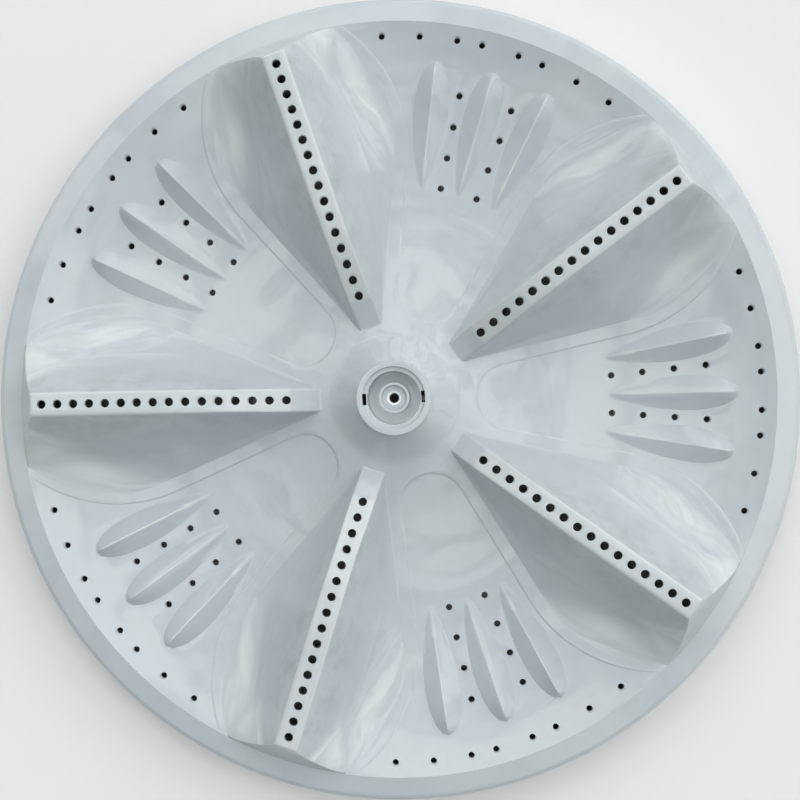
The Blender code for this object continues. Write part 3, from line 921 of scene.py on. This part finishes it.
# scale, detail, roughness and distortion of each noise, and the levels between which it shows
marks = {
    "clouds": {"noise": (17, 4, 0.55, 0.6), "levels": (0.35, 0.65)},
    "film": {"noise": (60, 5, 0.6, 1.5), "levels": (0.45, 0.8)},
    "specks": {"noise": (900, 2, 0.5, 0.0), "levels": (0.68, 0.78)},
    # mottling for the painted shade and dark reflections of foliage on the upper steep flanks
    "stains": {"noise": (80, 5, 0.65, 0.3), "levels": (0.42, 0.70)},
    "scuffs": {"noise": (240, 6, 0.7, 2.0), "levels": (0.5, 0.75)},
    "patches": {"noise": (5.5, 3, 0.55, 0.8), "levels": (0.47, 0.53)},
    "branches": {"noise": (14, 4, 0.6, 1.6), "levels": (0.49, 0.53)},
}


# The plastic

plastic = {
    "pale": (0.475, 0.530, 0.568, 1),
    "cloud": (0.498, 0.549, 0.574, 1),
    "smudge": (0.412, 0.458, 0.480, 1),
    # painted shade: dark reflections of foliage and shade near the ridge on the steep flanks
    "stain": (0.290, 0.333, 0.324, 1),
    # painted sheen on the ridge tops, with painted highlights on their rounded edges and along the
    # fins' crests
    "ridge": (0.570, 0.618, 0.628, 1),
    # painted shade in the screw seat inside the boss's lip
    "seat": (0.375, 0.425, 0.455, 1),
    # painted light: the highlight on the chamfer round the screw hole and the light in the recess
    "bright": (0.84, 0.87, 0.88, 1),
    "filmShare": 0.28,
    # share of the painted flank shade
    "stainShare": 0.5,
    "speckShare": 0.10,
    "ridgeShare": 0.4,    # of the painted sheen on the level part of a ridge; its rounded edges get the whole painted highlight
    # share of the painted light in the hub's recess
    "recessShare": 0.55,
    "seatShare": 0.9,
    "roughness": 0.42,
    "scuffRoughness": 0.10,
    "filmRoughness": 0.08,
    "coat": 0.9,
    "coatRoughness": 0.05,
    "index": 1.49,
    "waves": (38, 3, 0.5, 0.4),
    "streaks": (6, 3, 0.55, 0.6),
    "streakTurn": (4, 4, 4),
    "streakAlong": 30,
    "streakFade": (60 * mm, 110 * mm),
    "streakShare": 0.25,
    "bumpStrength": 0.25,
    "bumpDepth": 1 * mm,
}

# where each zone starts and where it is full: by height, by the upward part of the normal,
# by distance from the axis, by height above the bowl or by y
zones = {
    # the upper steep flanks that get the painted shade
    "flankFacing": (0.66, 0.60),
    "flankHeight": (22 * mm, 36 * mm),
    # the ridge tops and the fins' crests that get the painted sheen and highlights
    "ridgeHeight": (22.5 * mm, 24.5 * mm),
    "ridgeFacing": (0.6, 0.8),
    "ridgeAway": (43.5 * mm, 45 * mm),
    "ridgeRound": (1.0, 0.84),
    "crestAbove": (1.2 * mm, 2 * mm),
    "crestFacing": (0.90, 0.955),
    "crestAway": (80 * mm, 90 * mm),
    # the hub's recess, with painted light that grows towards -y
    "recessAway": (11.3 * mm, 11.0 * mm),
    "recessHeight": (27.5 * mm, 26.5 * mm),
    "recessSide": (8 * mm, -9 * mm),
    # the screw seat that gets the painted shade
    "seatAway": (5.4 * mm, 5.0 * mm),
    # the chamfer round the screw hole that gets the painted highlight
    "screwAway": (3.1 * mm, 2.8 * mm),
}


def plasticShade(board, place, away, film):
    # pale plastic with faint clouds, film and specks; painted shade and dark reflections, mottled,
    # on the upper steep flanks; a painted sheen on the ridges and the fins' crests, with painted
    # highlights on the ridges' rounded edges; painted light in the recess; painted shade on the
    # screw seat; and a painted highlight round the screw hole
    def zone(**values):
        # the product of the named zones' masks
        masks = [board.limit(value, zones[name]) for name, value in values.items()]
        return math.prod(masks[1:], start=masks[0])

    height = board.part(place, 2)
    facing = board.part(board.add("ShaderNodeNewGeometry", output=1), 2)    # of the normal
    flanks = zone(flankFacing=facing, flankHeight=height)
    ridge = zone(ridgeHeight=height, ridgeFacing=facing, ridgeAway=away)
    level = plastic["ridgeShare"]
    outward = (away - dish["lowR"]) * (1 / (creaseR - dish["lowR"]))
    above = height - dish["lowZ"] - outward * outward * (dish["rimTop"] - dish["lowZ"])
    crest = zone(crestAbove=above, crestFacing=facing, crestAway=away)
    recess = zone(recessAway=away, recessHeight=height, recessSide=board.part(place, 1))
    layers = [
        (film * plastic["filmShare"], "smudge"),
        # painted shade and dark reflections, mottled, on the upper steep flanks
        (flanks * board.mark(place, "stains") * plastic["stainShare"], "stain"),
        (board.mark(place, "specks") * plastic["speckShare"], "smudge"),
        # painted sheen on the ridge tops and painted highlights on their rounded edges
        (ridge * (level + (1 - level) * zone(ridgeRound=facing)), "ridge"),
        # painted highlight along the fins' crests
        (crest * (1 - ridge), "ridge"),
        # painted light in the recess, lighter towards -y
        (recess * plastic["recessShare"], "bright"),
        # painted shade in the screw seat
        (zone(seatAway=away) * plastic["seatShare"], "seat"),
        # painted highlight on the chamfer round the screw hole
        (zone(screwAway=away), "bright"),
    ]
    shade = board.blend(board.mark(place, "clouds"), plastic["pale"], plastic["cloud"])
    for mask, name in layers:
        shade = board.blend(mask, shade, plastic[name])
    return shade


def plasticBump(board, place, flat, away):
    # low waves, with streaks round the hub that run outwards: noise over the direction from
    # the axis, slowly changing with the distance
    ray = board.vector("NORMALIZE", {0: flat})
    polar = board.vector("MULTIPLY_ADD", {0: ray, 1: plastic["streakTurn"],
                                          2: away * plastic["streakAlong"]})
    streaks = board.noise(polar, plastic["streaks"])
    streaks = streaks * (1 - board.limit(away, plastic["streakFade"]))
    waves = board.noise(place, plastic["waves"]) + streaks * plastic["streakShare"]
    return board.add("ShaderNodeBump", {}, {
        "Strength": plastic["bumpStrength"], "Distance": plastic["bumpDepth"], "Height": waves})


def plasticFinish():
    board = Board(bpy.data.materials.new("pale_moulded_plastic"))
    place = board.add("ShaderNodeTexCoord", output=3)    # object coordinates
    flat = board.vector("MULTIPLY", {0: place, 1: (1, 1, 0)})
    away = board.vector("LENGTH", {0: flat}, output=1)
    film = board.mark(place, "film")
    rough = (plastic["roughness"] + board.mark(place, "scuffs") * plastic["scuffRoughness"]
             + film * plastic["filmRoughness"])
    shader = board.add("ShaderNodeBsdfPrincipled", {}, {
        "Base Color": plasticShade(board, place, away, film),
        "Roughness": rough,
        "Normal": plasticBump(board, place, flat, away),
        "IOR": plastic["index"],
        "Coat Weight": plastic["coat"],
        "Coat Roughness": plastic["coatRoughness"]})
    return board.finish("ShaderNodeOutputMaterial", shader)


# Building the piece

sharpFrom = math.radians(26)    # edges that turn by more stay sharp


def makePulsator():
    body = makeDish()
    print("dish skin", len(body.data.polygons), "faces")
    steps = [("DIFFERENCE", makeCavity), ("UNION", makeHub), ("UNION", makeRingRib),
             ("UNION", makeRadialRibs), ("DIFFERENCE", makeSlots), ("DIFFERENCE", makeSplines),
             ("DIFFERENCE", makeHoles)]
    for operation, makeTool in steps:
        combine(body, operation, makeTool())
    mesh = body.data
    mesh.name = "pulsator_moulding"
    mesh.materials.clear()
    mesh.materials.append(plasticFinish())
    mesh.shade_smooth()
    mesh.set_sharp_from_angle(angle=sharpFrom)
    mesh.calc_loop_triangles()
    print("pulsator", len(mesh.loop_triangles), "triangles")
    return body


pulsator = makePulsator()
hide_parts("pulsator")
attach(pulsator, "root")


# Floor, sky and camera

studio = {
    "floorShade": (0.80, 0.80, 0.80, 1),
    "floorRoughness": 0.8,
    "floorHalf": 6.0,
    "floorGap": 0.1 * mm,
    "skyShade": (1.0, 1.0, 1.0, 1),
    "backdropShade": (0.80, 0.80, 0.80, 1),
    "bankShade": (0.94, 1.0, 0.99, 1),
    "strength": 2.3,
    "overhead": 0.66,
    "lean": 0.46,
    "leanAzimuth": math.radians(50),
    "bankDark": 0.72,
    "bankAzimuth": math.radians(246),
    "bankSpread": (0.05, 0.6),
    "bankTop": math.cos(math.radians(26.5)),
    "bankSoft": 0.008,
    "bankNoise": (9, 5, 0.65, 1.2),
    "bankRagged": 0.12,
    "patchDepth": 0.58,
    "branchDepth": 0.35,
}


def makeFloor():
    half = studio["floorHalf"]
    level = cadLow.z - studio["floorGap"]
    points = np.array([(-half, -half, level), (half, -half, level),
                       (half, half, level), (-half, half, level)])
    floor = newObject(newMesh("floor", points, np.array([[0, 1, 2, 3]])))
    board = Board(bpy.data.materials.new("floor_paint"))
    shader = board.add("ShaderNodeBsdfPrincipled", {}, {
        "Base Color": studio["floorShade"], "Roughness": studio["floorRoughness"]})
    floor.data.materials.append(board.finish("ShaderNodeOutputMaterial", shader))


def makeSky():
    # an open sky that is brighter to one side, a dark bank of trees with a ragged top on the
    # other, and thin clouds with clear edges that the gloss reflects. The camera itself sees
    # a plain pale backdrop
    board = Board(bpy.data.worlds.new("sky"))
    direction = board.add("ShaderNodeTexCoord")

    def towards(azimuth, height):
        # how far a direction looks to an azimuth (height 0) or straight up (height 1)
        aim = (math.cos(azimuth) * (1 - height), math.sin(azimuth) * (1 - height), height)
        return board.vector("DOT_PRODUCT", {0: direction, 1: aim}, output=1)

    up = towards(0, 1)
    ragged = board.noise(direction, studio["bankNoise"]) - 0.5
    bankEdge = (studio["bankTop"] - studio["bankSoft"], studio["bankTop"] + studio["bankSoft"])
    under = 1 - board.limit(up + ragged * studio["bankRagged"], bankEdge)
    bank = under * board.limit(towards(studio["bankAzimuth"], 0), studio["bankSpread"])
    patches = board.mark(direction, "patches")
    branches = board.mark(direction, "branches")
    cover = 1 - patches * studio["patchDepth"] - branches * studio["branchDepth"] * patches
    level = 1 - studio["overhead"] + up * studio["overhead"]
    level = level + towards(studio["leanAzimuth"], 0) * studio["lean"]
    strength = level * cover * (1 - bank * studio["bankDark"]) * studio["strength"]
    shade = board.blend(bank, studio["skyShade"], studio["bankShade"])
    sky = board.add("ShaderNodeBackground", {}, {"Color": shade, "Strength": strength})
    backdrop = board.add("ShaderNodeBackground", {}, {"Color": studio["backdropShade"]})
    seen = board.add("ShaderNodeLightPath")
    shader = board.add("ShaderNodeMixShader", {}, {0: seen, 1: sky, 2: backdrop})
    bpy.context.scene.world = board.finish("ShaderNodeOutputWorld", shader)


# the place and the leans that bring the rim and the rows of holes onto the photo's
view = {
    "distance": 0.681557,
    "slideX": -2.1256 * mm,
    "slideY": 0.7676 * mm,
    "level": 20 * mm,
    "leanX": -0.011998,
    "leanY": -0.056127,
    "roll": 0.020211,
    "lens": 72,
    "sensor": 36,
    "near": 0.05,
}


def makeCamera():
    # the camera looks down on the disc, turned by the two leans and the roll
    camera = bpy.data.objects.new("camera", bpy.data.cameras.new("camera"))
    bpy.context.scene.collection.objects.link(camera)
    camera.data.lens = view["lens"]
    camera.data.sensor_width = view["sensor"]
    camera.data.clip_start = view["near"]
    lean = Matrix.Rotation(view["leanY"], 3, "Y") @ Matrix.Rotation(view["leanX"], 3, "X")
    back = (lean @ Matrix.Rotation(view["roll"], 3, "Z")).transposed()
    place = back @ Vector((-view["slideX"], -view["slideY"], view["distance"]))
    place += Vector((0, 0, view["level"]))
    camera.matrix_world = Matrix.Translation(place) @ back.to_4x4()
    bpy.context.scene.camera = camera


makeFloor()
makeSky()
makeCamera()
bpy.context.scene.view_settings.view_transform = "Standard"
print("floor, sky and camera set")
